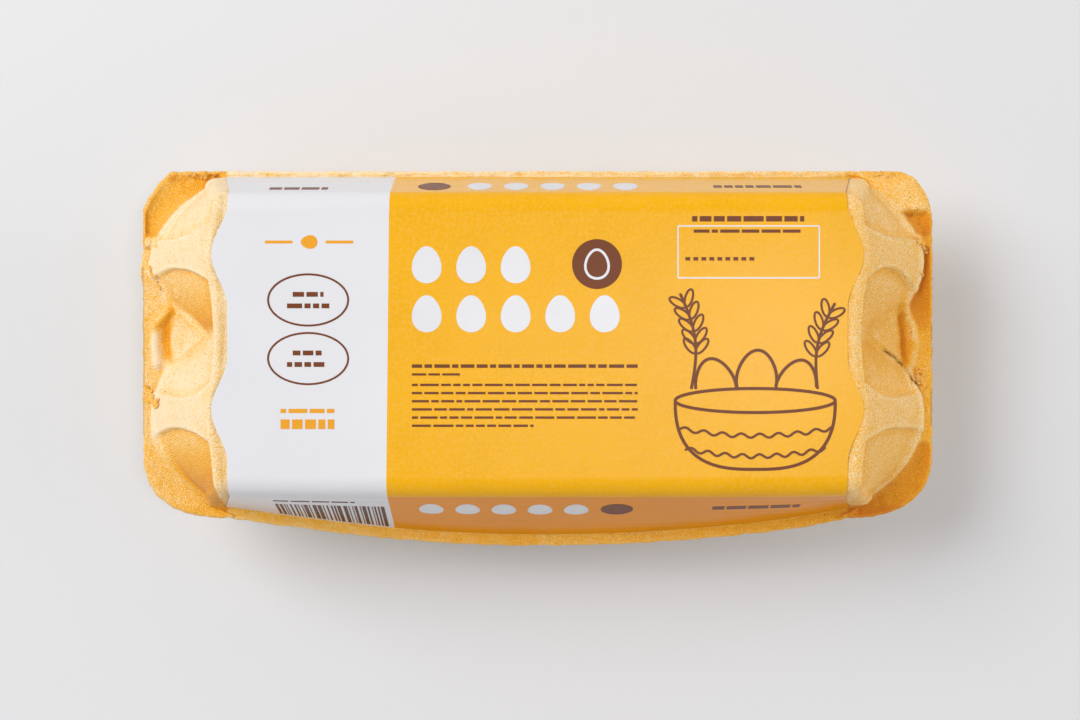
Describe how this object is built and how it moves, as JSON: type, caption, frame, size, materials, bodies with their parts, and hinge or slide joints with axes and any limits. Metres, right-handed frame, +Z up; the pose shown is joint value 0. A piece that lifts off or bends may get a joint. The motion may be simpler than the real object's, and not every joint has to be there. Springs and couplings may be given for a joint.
{
  "type": "egg carton",
  "caption": "Shut moulded-pulp egg carton: lid with scalloped ends and a bowed front flap, tray of tapered cups, printed paper label over the lid.",
  "frame": {"origin": "centre of the bounding box, on the ground plane that the cups stand on", "axes": "+X along the carton to the right of the label, +Y to the hinge side, +Z up"},
  "size_m": [0.259, 0.1236, 0.0727],
  "materials": {
    "lid_pulp": "matt moulded pulp dyed warm yellow",
    "tray_pulp": "matt moulded pulp dyed warm yellow",
    "label_paper": "smooth printed paper with a soft sheen"
  },
  "bodies": {
    "root": {"carton_lid": "lid_pulp", "carton_tray": "tray_pulp", "label": "label_paper"}
  },
  "joints": []
}
